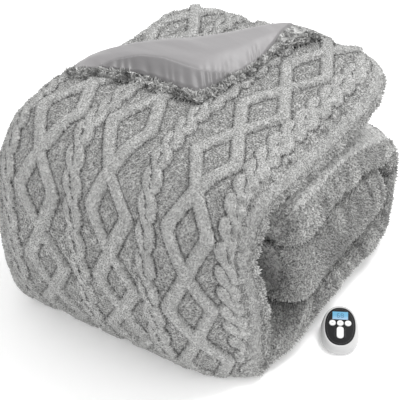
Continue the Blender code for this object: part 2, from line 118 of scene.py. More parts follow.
def newMaterial(name, inputs):
    material = bpy.data.materials.new(name)
    material.use_nodes = True
    setShader(material, inputs)
    return material


studio = dict(
    floorReach=9, floorColour=(0.97, 0.97, 0.97, 1), floorRoughness=0.9, floorGlow=0.16,
    worldColour=(1, 1, 1, 1), worldStrength=0.98,
    # name: place, aim, size, power
    lamps={
        "key": ((0.6, 1.4, 2.7), (0, 0, 0.2), 1.3, 58),
        "front": ((-0.6, -3.0, 1.7), (0, 0, 0.2), 1.6, 10),
        "side": ((3.2, 0.1, 0.6), (0.1, 0, 0.1), 1.4, 4),
    },
)


def addStudio():
    reach = studio["floorReach"]
    paper = bpy.data.meshes.new("floor")
    around = [(-reach, -reach, 0), (reach, -reach, 0), (reach, reach, 0), (-reach, reach, 0)]
    paper.from_pydata(around, [], [(0, 1, 2, 3)])
    paper.materials.append(newMaterial("floorPaper", {
        "Base Color": studio["floorColour"], "Roughness": studio["floorRoughness"],
        "Emission Color": (1, 1, 1, 1), "Emission Strength": studio["floorGlow"],
    }))
    placed("floor", paper)
    world = bpy.data.worlds.new("studio")
    world.use_nodes = True
    setInputs(world.node_tree.nodes["Background"], {
        "Color": studio["worldColour"], "Strength": studio["worldStrength"],
    })
    bpy.context.scene.world = world
    bpy.context.scene.view_settings.view_transform = "Standard"
    for name, (place, aim, size, power) in studio["lamps"].items():
        data = bpy.data.lights.new(name, "AREA")
        data.size, data.energy = size, power
        lamp = placed(name, data)
        lamp.location = place
        lamp.rotation_euler = (Vector(aim) - Vector(place)).to_track_quat("-Z", "Y").to_euler()


def softNoise(points, size, seed):
    # smooth values from -1 to 1 over space, one lump every size metres, the same on every run
    count, shift = 32, 7.3
    table = np.random.default_rng(seed).uniform(-1, 1, (count, count, count))
    place = np.asarray(points) / size + shift
    cell = np.floor(place).astype(int)
    part = place - cell
    part = part * part * (3 - 2 * part)
    value = 0
    for side in np.ndindex(2, 2, 2):
        weight = np.prod(np.where(side, part, 1 - part), axis=-1)
        i, j, k = np.moveaxis((cell + side) % count, -1, 0)
        value = value + weight * table[i, j, k]
    return value


def smoothStep(value, low, high):
    part = np.clip((value - low) / (high - low), 0, 1)
    return part * part * (3 - 2 * part)


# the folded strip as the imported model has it: what each of its sections along the fold says
foldColumns = (
    "outerY", "outerZ", "innerY", "innerZ", "hemX", "hemDrop", "hem",
    "rollX", "rollAt", "creaseIn", "leftX", "leftRound", "leftFall", "carved",
)
foldRows = {
    "topEnd": (0.338, 0.34, 0.324, 0.32, 0.05, 0.004, 0.006, 0.02, 0.2, 0.01, -0.165, 0.045, 0.014, 0),
    "topLip": (0.332, 0.357, 0.304, 0.318, 0.11, 0.006, 0.014, 0.075, 0.2, 0.016, -0.242, 0.055, 0.042, 1),
    "topEdge": (0.312, 0.375, 0.276, 0.322, 0.158, 0.01, 0.02, 0.125, 0.2, 0.018, -0.278, 0.065, 0.068, 1),
    "topRim": (0.275, 0.385, 0.245, 0.328, 0.194, 0.018, 0.022, 0.16, 0.2, 0.02, -0.297, 0.075, 0.078, 1),
    "topBack": (0.205, 0.388, 0.195, 0.332, 0.21, 0.03, 0.022, 0.172, 0.2, 0.02, -0.304, 0.08, 0.08, 1),
    "topMiddle": (0.08, 0.39, 0.08, 0.334, 0.212, 0.042, 0.022, 0.172, 0.2, 0.02, -0.306, 0.085, 0.081, 1),
    "topFront": (-0.1, 0.394, -0.08, 0.335, 0.211, 0.042, 0.022, 0.172, 0.2, 0.02, -0.336, 0.075, 0.085, 1),
    "topTurn": (-0.184, 0.394, -0.138, 0.321, 0.208, 0.048, 0.022, 0.172, 0.2, 0.024, -0.338, 0.08, 0.09, 1),
    "shoulder": (-0.245, 0.386, -0.156, 0.274, 0.206, 0.06, 0.022, 0.168, 0.3, 0.034, -0.334, 0.09, 0.1, 1),
    "brow": (-0.332, 0.322, -0.158, 0.215, 0.207, 0.095, 0.022, 0.166, 0.5, 0.03, -0.326, 0.13, 0.106, 1),
    "face": (-0.368, 0.22, -0.157, 0.167, 0.214, 0.138, 0.022, 0.166, 0.5, 0.026, -0.308, 0.15, 0.108, 1),
    "cheek": (-0.364, 0.118, -0.156, 0.12, 0.219, 0.136, 0.022, 0.176, 0.5, 0.026, -0.3, 0.12, 0.108, 1),
    "toe": (-0.314, 0.028, -0.142, 0.082, 0.234, 0.07, 0.022, 0.206, 0.5, 0.018, -0.302, 0.07, 0.085, 1),
    "soleFront": (-0.262, 0, -0.07, 0.078, 0.232, 0.02, 0.016, 0.25, 0.5, 0.006, -0.3, 0.08, 0.05, 0),
    "soleMiddle": (0, 0, 0.02, 0.082, 0.23, 0.006, 0.016, 0.252, 0.5, 0.006, -0.306, 0.07, 0.04, 0),
    "soleBack": (0.21, 0, 0.2, 0.084, 0.226, 0.006, 0.016, 0.25, 0.5, 0.006, -0.312, 0.07, 0.04, 0),
    "heel": (0.316, 0.022, 0.256, 0.088, 0.213, 0.02, 0.016, 0.236, 0.5, 0.006, -0.306, 0.07, 0.04, 0),
    "backBend": (0.344, 0.105, 0.268, 0.124, 0.219, 0.02, 0.02, 0.227, 0.5, 0.006, -0.302, 0.08, 0.03, 1),
    "backTop": (0.338, 0.168, 0.268, 0.158, 0.219, 0.016, 0.02, 0.223, 0.5, 0.006, -0.302, 0.08, 0.026, 1),
    "backBrow": (0.318, 0.204, 0.262, 0.18, 0.216, 0.012, 0.02, 0.216, 0.5, 0.01, -0.302, 0.08, 0.026, 1),
    "tuckLip": (0.286, 0.236, 0.25, 0.19, 0.218, 0.014, 0.024, 0.206, 0.4, 0.022, -0.304, 0.075, 0.028, 0),
    "coreTop": (0.266, 0.248, 0.236, 0.162, 0.216, 0.016, 0.032, 0.19, 0.3, 0.036, -0.306, 0.07, 0.045, 0),
    "coreBack": (0.246, 0.259, 0.229, 0.118, 0.217, 0.018, 0.044, 0.212, 0.3, 0.034, -0.308, 0.07, 0.08, 0),
    "coreHeel": (0.22, 0.27, 0.222, 0.096, 0.218, 0.022, 0.058, 0.232, 0.4, 0.024, -0.308, 0.07, 0.1, 0),
    "tuckBack": (0.165, 0.298, 0.19, 0.09, 0.22, 0.028, 0.06, 0.245, 0.5, 0.014, -0.31, 0.075, 0.115, 0),
    "tuckMiddle": (0.04, 0.33, 0.04, 0.086, 0.222, 0.03, 0.074, 0.248, 0.5, 0.012, -0.314, 0.08, 0.122, 0),
    "tuckFront": (-0.1, 0.326, -0.106, 0.083, 0.226, 0.026, 0.08, 0.254, 0.5, 0.012, -0.318, 0.08, 0.122, 0),
    "tuckEnd": (-0.134, 0.302, -0.138, 0.097, 0.19, 0.014, 0.07, 0.21, 0.5, 0.004, -0.304, 0.06, 0.105, 0),
}
strip = dict(
    stepShown=0.0045, stepCovered=0.012,    # along the strip
    outerPoints=214,                        # across its outer face
    rimPoints=9, rollPoints=30,             # round its hem, and down its plies' side
    roundSteps=40, flatSteps=8,             # round its left bend and hem, and along its inner face
    hemRound=0.115, hemSpread=0.28, hemTurn=math.radians(70),
    rimIn=(0.10, 0.022), rimOut=(0.40, 0.034), rimTurn=(15, -140),
    rollRound=0.050,
    drawRight=0.034, drawLeft=0.034,        # the back corners, drawn in
    sinkLeft=0.004,                         # and the left one sinks
    # where each of these starts, and over how far it grows
    right=(0.06, 0.20), left=0.14, back=(0.10, 0.25), high=0.40,
)


def smoothCurve(rows, steps):
    rows = np.asarray(rows, float)
    padded = np.vstack([2 * rows[0] - rows[1], rows, 2 * rows[-1] - rows[-2]])
    t = (np.arange(steps) / steps)[:, None]
    spans = []
    for i in range(1, len(padded) - 2):
        a, b, c, d = padded[i - 1:i + 3]
        spans.append(0.5 * (
            2 * b + (c - a) * t + (2 * a - 5 * b + 4 * c - d) * t ** 2
            + (3 * b - a - 3 * c + d) * t ** 3
        ))
    return np.vstack(spans + [rows[-1:]])


def runAlong(points):
    return np.concatenate([[0], np.cumsum(np.linalg.norm(np.diff(points, axis=0), axis=1))])


def spreadEvenly(points, count):
    run = runAlong(points)
    at = np.linspace(0, run[-1], count)
    return np.column_stack([np.interp(at, run, column) for column in np.transpose(points)])


def stripStations():
    dense = smoothCurve(list(foldRows.values()), 120)
    carved = foldColumns.index("carved")
    dense[:, 1] = dense[:, 1].clip(min=0)
    dense[:, carved] = dense[:, carved].clip(0, 1)
    run = runAlong(dense[:, :2])
    spread = np.cumsum(np.maximum(
        np.linalg.norm(np.diff(dense[:, :2], axis=0, prepend=dense[:1, :2]), axis=1),
        np.linalg.norm(np.diff(dense[:, 2:4], axis=0, prepend=dense[:1, 2:4]), axis=1),
    ))
    picked = [0]
    for i in range(1, len(dense) - 1):
        step = strip["stepShown"] if dense[i, carved] > 0 else strip["stepCovered"]
        if spread[i] - spread[picked[-1]] >= step:
            picked.append(i)
    picked.append(len(dense) - 1)
    return [dict(zip(foldColumns, dense[i]), run=run[i]) for i in picked]


def quarter(start, end, count, cornerAtStart, power=2.3):
    # points of a quarter of a superellipse, its two ends left out
    angle = 0.5 * math.pi * np.arange(1, count + 1) / (count + 1)
    across = np.sin(angle) ** (2 / power)
    down = 1 - np.cos(angle) ** (2 / power)
    if cornerAtStart:
        across, down = down, across
    start, end = np.asarray(start), np.asarray(end)
    return start + (end - start) * np.column_stack([across, down])


def settled(x, y, z):
    # the bundle's back corners are drawn in, and its top sinks towards the left one
    (rightAt, rightOver), (backAt, backOver) = strip["right"], strip["back"]
    right = np.maximum(0, x - rightAt) / rightOver
    left = smoothStep(-x, 0, strip["left"])
    back = np.clip((y - backAt) / backOver, 0, 1) ** 2
    high = np.clip(z / strip["high"], 0, 1) ** 2
    drawn = strip["drawRight"] * right ** 2 + strip["drawLeft"] * left
    return y - back * drawn, z - strip["sinkLeft"] * back * high * left


def stripSection(station):
    # (x, n) round the section, n from the inner face, and the place across each point
    thickness = math.dist(
        (station["outerY"], station["outerZ"]), (station["innerY"], station["innerZ"])
    )
    side = thickness - station["leftFall"]
    drop = min(station["hemDrop"], 0.75 * thickness)
    hem = min(station["hem"], 0.4 * thickness)
    leftX, hemX, rollX = station["leftX"], station["hemX"], station["rollX"]
    leftTop = (leftX + station["leftRound"], thickness)
    turn = strip["hemRound"] + strip["hemSpread"] * drop
    steps, flatSteps = strip["roundSteps"], strip["flatSteps"]
    angle = strip["hemTurn"] * np.arange(0, steps + 1) / steps
    depth = drop / (1 - math.cos(strip["hemTurn"]))
    fall = np.column_stack([
        hemX - turn + turn * np.sin(angle) / math.sin(strip["hemTurn"]),
        thickness - depth * (1 - np.cos(angle)),
    ])
    outer = np.vstack([
        [(leftX, side)], quarter((leftX, side), leftTop, steps, True), [leftTop], fall
    ])
    run = runAlong(outer)
    zero = np.interp(0, outer[:, 0], run)
    outer = spreadEvenly(outer, strip["outerPoints"])
    across = np.linspace(0, run[-1], strip["outerPoints"]) - zero
    # rolled hem, crease under it, the inner plies' side, and back along the inner face
    low = thickness - drop - hem
    turned = np.radians(np.linspace(*strip["rimTurn"], strip["rimPoints"]))
    (inward, mostIn), (outward, mostOut) = strip["rimIn"], strip["rimOut"]
    rim = np.column_stack([
        hemX - inward * min(hem, mostIn) + outward * min(hem, mostOut) * np.cos(turned),
        low + 0.5 * hem + 0.5 * hem * np.sin(turned),
    ])
    crease = (hemX - station["creaseIn"], max(low - min(0.15 * hem, 0.004), 0.003))
    belly = (rollX, station["rollAt"] * crease[1])
    innerRight, innerLeft = (rollX - strip["rollRound"], 0), (leftX + 0.6 * station["leftRound"], 0)
    slope = 1.1 + 2.4 * station["rollAt"]
    roll = np.vstack([
        [crease], quarter(crease, belly, 14, False, slope), [belly],
        quarter(belly, innerRight, 9, True), [innerRight],
    ])
    roll = spreadEvenly(roll, strip["rollPoints"])
    flat = np.column_stack([
        np.linspace(innerRight[0], innerLeft[0], flatSteps + 1)[1:], np.zeros(flatSteps)
    ])
    rest = np.vstack([rim, roll, flat, quarter(innerLeft, (leftX, side), flatSteps, False)])
    return outer, across, run[-1] - zero, rest


def buildStripSurface():
    # the smooth surface as a grid of points, with what the carving and the pile need
    stations = stripStations()
    points, across, border = [], [], []
    for station in stations:
        outer, place, toBorder, rest = stripSection(station)
        loop = np.vstack([outer, rest])
        inner = np.array((station["innerY"], station["innerZ"]))
        out = np.array((station["outerY"], station["outerZ"])) - inner
        out /= np.linalg.norm(out)
        y = inner[0] + out[0] * loop[:, 1]
        z = np.maximum(inner[1] + out[1] * loop[:, 1], 0)
        points.append(np.column_stack([loop[:, 0], *settled(loop[:, 0], y, z)]))
        beyond = place[-1] + runAlong(np.vstack([outer[-1:], rest]))[1:]
        across.append(np.concatenate([place, beyond]))
        border.append(toBorder)
    return dict(
        points=np.array(points), across=np.array(across), border=np.array(border)[:, None],
        run=np.array([station["run"] for station in stations])[:, None],
        carved=np.array([station["carved"] for station in stations])[:, None],
    )


def unitLength(vectors):
    return vectors / np.maximum(np.linalg.norm(vectors, axis=2, keepdims=True), 1e-9)


def gridNormals(points):
    along = np.gradient(points, axis=0)
    around = np.roll(points, -1, axis=1) - np.roll(points, 1, axis=1)
    return unitLength(np.cross(along, around))


# the carved pattern: columns of diamonds and columns of cable by turns
carving = dict(
    # each diamond column: (along, across) of its middle, and the crossings along it
    diamonds={
        "farLeft": (((0.20, -0.375), (0.46, -0.380), (0.65, -0.362), (0.79, -0.322), (0.92, -0.298),
                     (1.20, -0.285)), (0.04, 0.21, 0.38, 0.55, 0.69, 0.83, 0.97, 1.11)),
        "left": (((0.20, -0.222), (0.46, -0.236), (0.58, -0.232), (0.66, -0.214), (0.73, -0.187),
                  (0.79, -0.163), (0.85, -0.146), (0.91, -0.132), (1.20, -0.110)),
                 (-0.06, 0.11, 0.29, 0.457, 0.655, 0.790, 0.907, 1.025, 1.15)),
        "middle": (((0.20, -0.080), (0.42, -0.100), (0.55, -0.090), (0.65, -0.066), (0.71, -0.034),
                    (0.79, -0.009), (0.84, 0.009), (0.89, 0.022), (1.20, 0.040)),
                   (-0.08, 0.08, 0.25, 0.425, 0.645, 0.780, 0.888, 1.005, 1.13)),
        "right": (((0.20, 0.077), (0.45, 0.079), (0.53, 0.086), (0.62, 0.101), (0.70, 0.120),
                   (0.78, 0.138), (0.86, 0.152), (0.93, 0.161), (1.20, 0.172)),
                  (-0.05, 0.110, 0.272, 0.441, 0.618, 0.774, 0.924, 1.075, 1.23)),
    },
    reach=((0.40, 0.044), (0.60, 0.040), (0.70, 0.039), (0.95, 0.041)),
    blunt=0.94,                             # how much of its reach a diamond's point keeps
    barWidth=0.0245, barHeight=0.0072, barEdge=0.0040,
    columnPitch=0.153, backPitch=0.16, backCrossings=8,
    linkPitch=0.048, linkStart=0.007, linkShift=0.013, linkSway=0.0100,
    linkWidth=0.0200, linkHeight=0.0082, linkLean=0.95, linkRound=2.6, linkOver=0.0030,
    lastCable=1.25,                         # how much wider the one beside the border is
    plainBorder=0.030, outside=-0.02,
)


def carvedHeight(across, along):
    # height of the pattern over the ground, and the distance in from its nearest outline
    height = np.zeros(np.broadcast(across, along).shape)
    edge = height + carving["outside"]
    reach = np.interp(along, *np.transpose(carving["reach"]))
    middles = []
    for middle, crossings in carving["diamonds"].values():
        middle = np.interp(along, *np.transpose(middle))
        middles.append(middle)
        more = carving["backPitch"] * np.arange(1, carving["backCrossings"] + 1)
        crossings = crossings + tuple(crossings[-1] + more)
        part = np.interp(along, crossings, np.arange(len(crossings))) % 1.0
        swing = np.minimum(1 - np.abs(2 * part - 1), carving["blunt"])
        length = np.interp(along, crossings[:-1], np.diff(crossings))
        lean = np.cos(np.arctan2(2 * reach, length))
        away = np.abs(np.abs(across - middle) - reach * swing) * lean
        within = 0.5 * carving["barWidth"] - away
        edge = np.maximum(edge, within)
        height = np.maximum(height, carving["barHeight"] * smoothStep(within, 0, carving["barEdge"]))
    # cables between them: links that start on the left and end on the right, by turns
    half = 0.5 * carving["columnPitch"]
    cables = [0.5 * (a + b) for a, b in zip(middles, middles[1:])] + [middles[-1] + half]
    for number, middle in enumerate(cables):
        place = (along - carving["linkStart"] + carving["linkShift"] * number) / carving["linkPitch"]
        wide = carving["lastCable"] if number == len(cables) - 1 else 1.0
        for step in (0, 1):
            t = ((place % 1.0) + step) / 2
            path = middle - wide * carving["linkSway"] * np.cos(math.pi * smoothStep(t, 0.10, 0.90))
            ends = np.sqrt(np.clip(1 - np.abs(2 * t - 1) ** 6, 0, 1))
            width = 0.5 * carving["linkWidth"] * wide * ends
            away = np.abs(across - path) * carving["linkLean"]
            link = np.clip(1 - (away / np.maximum(width, 1e-6)) ** carving["linkRound"], 0, 1)
            link = np.sqrt(link) * (0.86 + 0.14 * np.sin(math.pi * t))
            height = np.maximum(height, carving["linkHeight"] * link * (width > 1e-4))
            # a link's lower end lies over the start of the next, with its outline on it
            within = np.where(width > 1e-4, width - away, carving["outside"])
            over = (within > -carving["linkOver"]) & (step == 1)
            edge = np.where(over, within, np.maximum(edge, within))
    return height, edge


def pointsInside(outline, x, y):
    inside = np.zeros(np.shape(x), bool)
    for (x0, y0), (x1, y1) in zip(outline, np.roll(outline, -1, axis=0)):
        crosses = ((y0 > y) != (y1 > y)) & (x < x0 + (x1 - x0) * (y - y0) / (y1 - y0 + 1e-12))
        inside ^= crosses
    return inside


def blurred(values, times):
    # values on the strip's grid, evened out over their neighbours
    for _ in range(times):
        padded = np.pad(values, 1, mode="edge")
        values = (
            padded[1:-1, :-2] + padded[1:-1, 2:] + padded[:-2, 1:-1] + padded[2:, 1:-1]
            + 2 * padded[1:-1, 1:-1]
        ) / 6
    return values


relief = dict(
    lump=0.0022, lumpSize=0.085, ripple=0.0011, rippleSize=0.034, pile=0.0010, pileSize=0.0095,
    seamIn=0.030, seamWidth=0.0038, seamDepth=0.0026, hemFade=0.010,
    pucker=0.0048, puckerSize=0.012, puckerIn=0.042, puckerWidth=0.017, puckerStretch=0.28,
    finger=0.0046, fingerSize=0.019, bulge=0.004, bulgeSize=0.07, bulgeStretch=(1.6, 0.6, 1.6),
    patternFade=0.010, sidePattern=0.55, sideFade=(0.050, 0.075),
    coveredAbove=0.33, floorFade=(0.002, 0.030), gapFade=(0.004, 0.020),
)
# how much darker, or lighter, each of these is: painted shade at the bars' foot, in the seam's groove, in
# the plies' crease, between the fingers, on the plies' sides and under the corner; painted light and shade
# over the puckers; a painted highlight on the rolled hem; the hem band is a little darker and the mottle
# varies at random
plushToneAndShade = dict(
    foot=-0.25, hem=-0.10, seam=-0.30, pucker=0.16, finger=0.42, side=-0.10, mottle=0.05,
    crease=-0.42, creaseAt=9.5, creaseWidth=1.6,        # in points past the outer face
    hemLight=0.14, hemLightAt=3.0, hemLightWidth=2.5,
    underCorner=-0.42, underReach=0.007, underStart=0.008, underAbove=0.30,
)


def besideCorner(points):
    # how far each point is from the turned-back corner's free edge, in plan
    away = np.full(points.shape[:2], 1.0)
    for x, y in cornerLines(160)[1]:
        away = np.minimum(away, np.hypot(points[..., 0] - x, points[..., 1] - y))
    return away


def bump(value, middle, width):
    return np.exp(-((value - middle) / width) ** 2)


def buildPlush(surface):
    # the plush with its pattern, and its layers: tone of the pile with painted shade and highlights, length
    # of the pile, millimetres in from the pattern's outline, and how deep the pattern is carved
    points, across, carved = surface["points"], surface["across"], surface["carved"]
    outerCount, z = strip["outerPoints"], points[..., 2]
    column = np.arange(points.shape[1])
    onOuter = column < outerCount
    sides = (column >= outerCount) & (column < outerCount + strip["rimPoints"] + strip["rollPoints"])
    covered = pointsInside(flapOutline(), points[..., 0], points[..., 1]) & (z > relief["coveredAbove"])
    shown = carved * onOuter * ~covered
    inBorder = surface["border"] - across
    beyond = np.maximum(-inBorder, 0)
    plain, seamIn = carving["plainBorder"], relief["seamIn"]
    fade = smoothStep(inBorder, plain, plain + relief["patternFade"]) * shown
    fade = fade + relief["sidePattern"] * sides * smoothStep(beyond, *relief["sideFade"])
    height, edge = carvedHeight(across, surface["run"])
    height = height * fade
    raised = np.clip(height / carving["barHeight"], 0, 1)
    foot = np.clip(blurred(raised, 2) - raised, 0, 1)
    # the seam inside the hem, with puckers that run across it, and fingers down the plies' sides
    place = np.dstack([surface["run"] + 0 * across, relief["puckerStretch"] * across, 0 * across])
    fingers = softNoise(place, relief["fingerSize"], 6)
    seam = bump(inBorder, seamIn, relief["seamWidth"]) * shown * np.clip(0.55 + 0.9 * fingers, 0, 1)
    pucker = softNoise(place, relief["puckerSize"], 5)
    pucker = pucker * bump(inBorder, relief["puckerIn"], relief["puckerWidth"]) * shown
    hem = smoothStep(-inBorder, -seamIn, -seamIn + relief["hemFade"]) * shown
    height = height - relief["seamDepth"] * seam + relief["pucker"] * pucker
    offFloor = smoothStep(z, *relief["floorFade"])
    height = height + (onOuter * np.maximum(carved, 0) + sides) * offFloor * (
        relief["lump"] * softNoise(points, relief["lumpSize"], 1)
        + relief["ripple"] * softNoise(points, relief["rippleSize"], 2)
        + relief["pile"] * softNoise(points, relief["pileSize"], 3) * (1 - 0.5 * raised)
    )
    plies = sides * smoothStep(beyond, *relief["gapFade"]) * offFloor
    bulges = softNoise(points * relief["bulgeStretch"], relief["bulgeSize"], 4)
    height = height + plies * (relief["finger"] * fingers + relief["bulge"] * bulges)
    look = plushToneAndShade
    # painted shade at the bars' foot and in the seam's groove; the hem band is a little darker
    tone = 1 + look["foot"] * foot + look["hem"] * hem + look["seam"] * seam
    # painted shade in the crease between two plies, and a painted highlight on the rolled hem above it
    tone = tone + look["crease"] * bump(column - outerCount, look["creaseAt"], look["creaseWidth"])
    light = bump(column - outerCount, look["hemLightAt"], look["hemLightWidth"])
    # painted light and shade that follow the puckers' rise and fall
    tone = tone + look["hemLight"] * light * (carved < 0.5) + look["pucker"] * pucker
    # painted shade: darker between the fingers and over the plies' sides
    tone = tone + plies * (look["finger"] * fingers + look["side"])
    tone = tone + look["mottle"] * softNoise(points, 0.10, 8)
    # painted shadow: the pile is darkened close under the turned-back corner's edge
    away = np.maximum(besideCorner(points) - look["underStart"], 0)
    under = np.exp(-away / look["underReach"]) * (z > look["underAbove"]) * onOuter
    tone = tone + look["underCorner"] * under
    nap = 1 - 0.30 * raised - 0.40 * hem - 1.2 * foot
    shaped = points + gridNormals(points) * height[..., None]
    shaped[..., 2] = shaped[..., 2].clip(min=0)
    layers = dict(
        tone=np.clip(tone, 0.2, 1.3), nap=np.clip(nap, 0.2, 1),
        edge=1000 * edge * (1 - hem) + 4 * hem, carve=np.clip(fade + 0.8 * hem, 0, 1) + 0 * edge,
    )
    return shaped, layers, covered


def gridFaces(rows, columns, closedRound=False):
    # the four-cornered faces over a grid of points, its rows closed round if asked
    index = np.arange(rows * columns).reshape(rows, columns)
    if closedRound:
        index = np.column_stack([index, index[:, 0]])
    faces = np.stack([index[:-1, :-1], index[1:, :-1], index[1:, 1:], index[:-1, 1:]], axis=-1)
    return faces.reshape(-1, 4).tolist()


def gridObject(name, grid, layers, closedRound=True):
    # a mesh over a grid of points; where its rows are closed round, its ends are closed as well
    rows, columns = grid.shape[:2]
    faces = gridFaces(rows, columns, closedRound)
    if closedRound:
        first, last = range(columns), range((rows - 1) * columns, rows * columns)
        faces += [list(first), list(last)[::-1]]
    mesh = bpy.data.meshes.new(name)
    mesh.from_pydata(grid.reshape(-1, 3).tolist(), [], faces)
    for key, values in layers.items():
        attribute = mesh.attributes.new(key, "FLOAT", "POINT")
        attribute.data.foreach_set("value", np.asarray(values, np.float32).reshape(-1))
    mesh.shade_smooth()
    return placed(name, mesh)


def faceOutwards(obj):
    bm = bmesh.new()
    bm.from_mesh(obj.data)
    bmesh.ops.recalc_face_normals(bm, faces=bm.faces)
    bm.to_mesh(obj.data)
    bm.free()


corner = dict(
    fold=((-0.336, -0.050), (-0.296, -0.020), (-0.262, 0.014), (-0.226, 0.056),
          (-0.188, 0.095), (-0.150, 0.130), (-0.118, 0.165), (-0.092, 0.198),
          (-0.066, 0.242), (-0.035, 0.290), (0.006, 0.312), (0.026, 0.316)),
    edge=((-0.334, -0.064), (-0.286, -0.086), (-0.245, -0.070), (-0.204, -0.054),
          (-0.164, -0.043), (-0.117, -0.044), (-0.070, -0.045), (-0.034, -0.038),
          (-0.022, -0.004), (-0.014, 0.051), (-0.006, 0.091), (-0.005, 0.146),
          (0.000, 0.190), (0.004, 0.219), (0.013, 0.247), (0.024, 0.284), (0.036, 0.308)),
    gap=0.001, edgeThickness=0.014, crest=0.036, crestAt=(0.22, 0.46),
    stations=260, across=44, rim=0.011, rimSteps=12,
    under=(0.97, 0.02, 14), underSink=0.018, sinkFrom=(0.62, 0.45),     # its lower face
    seat=0.005, seatFrom=(0.10, 0.25), seatTo=(-0.93, -0.86),   # its hollow under the lining
    fur=0.0042, furSize=0.0105, furFrom=(0.88, 0.96), furUnder=0.6, wander=0.0035, wanderSize=0.03,
    tone=0.82, mottle=0.80, mottleSize=0.0078,
)


def flapOutline():
    return np.vstack([corner["fold"], corner["edge"][::-1]])


def cornerLines(count):
    return (
        spreadEvenly(smoothCurve(corner["fold"], 12), count),
        spreadEvenly(smoothCurve(corner["edge"], 12), count),
    )


def cornerRise(part, along):
    edge, (full, fallAt) = corner["edgeThickness"], corner["crestAt"]
    crest = edge + (corner["crest"] - edge) * np.sin(math.pi * along)
    rise = np.sqrt(np.clip(1 - (1 - np.clip(part / full, 0, 1)) ** 2, 0, 1))
    return rise * (crest + (edge - crest) * smoothStep(part, fallAt, 1.0))


def topUnder(surface):
    # the bundle's top under the corner, smoothed, as heights on a coarse grid of the corner
    points = surface["points"][:, :strip["outerPoints"]]
    tree = BVHTree.FromPolygons(points.reshape(-1, 3).tolist(), gridFaces(*points.shape[:2]))
    rows, columns, apart = 30, 12, 0.02
    lowest, instead = 0.25, 0.30                # a ray past the top's edge hits lower down
    fold, edge = cornerLines(rows)
    heights = np.zeros((rows, columns))
    for i, j in np.ndindex(rows, columns):
        x, y = fold[i] + (edge[i] - fold[i]) * j / (columns - 1)
        found = []
        for dx, dy in ((0, 0), (apart, 0), (-apart, 0), (0, apart), (0, -apart)):
            hit = tree.ray_cast(Vector((x + dx, y + dy, 1)), Vector((0, 0, -1)))[0]
            found.append(hit.z if hit and hit.z > lowest else instead)
        heights[i, j] = sum(found) / len(found)
    return heights


def bilinear(table, u, v):
    rows, columns = table.shape
    i, j = u * (rows - 1), v * (columns - 1)
    i0, j0 = np.clip(i.astype(int), 0, rows - 2), np.clip(j.astype(int), 0, columns - 2)
    a, b = i - i0, j - j0
    return (
        table[i0, j0] * (1 - a) * (1 - b) + table[i0 + 1, j0] * a * (1 - b)
        + table[i0, j0 + 1] * (1 - a) * b + table[i0 + 1, j0 + 1] * a * b
    )


def cornerSurface(heights, count, parts, rise):
    fold, edge = cornerLines(count)
    u = np.linspace(0, 1, count)[:, None] * np.ones_like(parts)
    v = np.ones((count, 1)) * parts
    plan = fold[:, None] + (edge - fold)[:, None] * v[..., None]
    z = bilinear(heights, u, v) + corner["gap"] + (cornerRise(v, u) if rise else 0)
    return np.dstack([plan, z])


def buildCorner(heights):
    # its upper face, its rounded furry edge and its lower face, as one closed loop a station
    count = corner["stations"]
    parts, lower = np.linspace(0, 1, corner["across"]), np.linspace(*corner["under"])
    top = cornerSurface(heights, count, parts, rise=True)
    fold, edge = cornerLines(count)
    out = (edge - fold) / np.linalg.norm(edge - fold, axis=1, keepdims=True)
    turn = np.radians(np.linspace(0, 180, corner["rimSteps"] + 1))[1:]
    rim = np.repeat(top[:, -1:], len(turn), axis=1)
    rim[..., :2] += out[:, None] * (corner["rim"] * np.sin(turn))[None, :, None]
    rim[..., 2] -= 0.5 * corner["edgeThickness"] * (1 - np.cos(turn))[None]
    under = cornerSurface(heights, count, lower, rise=False)
    under[..., 2] -= corner["underSink"] * smoothStep(lower, *corner["sinkFrom"])
    seat = smoothStep(-parts, *corner["seatTo"]) * smoothStep(parts, *corner["seatFrom"])
    top[..., 2] -= corner["seat"] * seat
    grid = np.concatenate([top, rim, under], axis=1)
    normals = gridNormals(grid)
    if normals[count // 2, corner["across"] // 2, 2] < 0:
        normals = -normals
    isRim = np.concatenate([
        smoothStep(parts, *corner["furFrom"]), np.ones(len(turn)), lower > corner["furUnder"]
    ])
    fur = corner["fur"] * softNoise(grid, corner["furSize"], 11)
    wander = corner["wander"] * softNoise(grid, corner["wanderSize"], 12)
    grid = grid + normals * ((fur + wander) * isRim)[..., None]
    tone = corner["tone"] + corner["mottle"] * softNoise(grid, corner["mottleSize"], 13)
    tone = np.clip(tone, 0.25, 1.3)
    obj = gridObject("turnedCorner", grid, dict(tone=tone, nap=isRim + 0 * tone))
    faceOutwards(obj)
    return obj


lining = dict(
    # (along the corner, how far the lining reaches across it)
    reach=((0, 0.90), (0.10, 0.93), (0.74, 0.93), (0.80, 0.74), (0.85, 0.44), (0.89, 0.12)),
    thickness=0.0016, lift=0.0022, rows=200, columns=56, length=0.62, hem=0.05, hemSink=0.006,
    gather=0.0026, gatherSize=0.021, gatherFrom=(0.55, 0.95), gatherWander=0.8,
    pull=0.0016, pullSize=0.045, pullStretch=(0.5, 1.6, 0.4), pullFrom=(0.05, 0.25),
    # (along, across) of the long crease in the lining
    crease=((0.13, 0.99), (0.16, 0.80), (0.20, 0.66), (0.28, 0.57), (0.36, 0.56), (0.46, 0.64),
            (0.56, 0.80), (0.66, 0.97)),
    creaseStep=0.0034, creaseRise=(-0.006, 0.030), creaseFall=0.22, creaseDepth=0.55,
    creaseWidth=0.016, creaseFrom=(0.12, 0.16), creaseTo=(-0.66, -0.40), creaseShade=0.32,
)


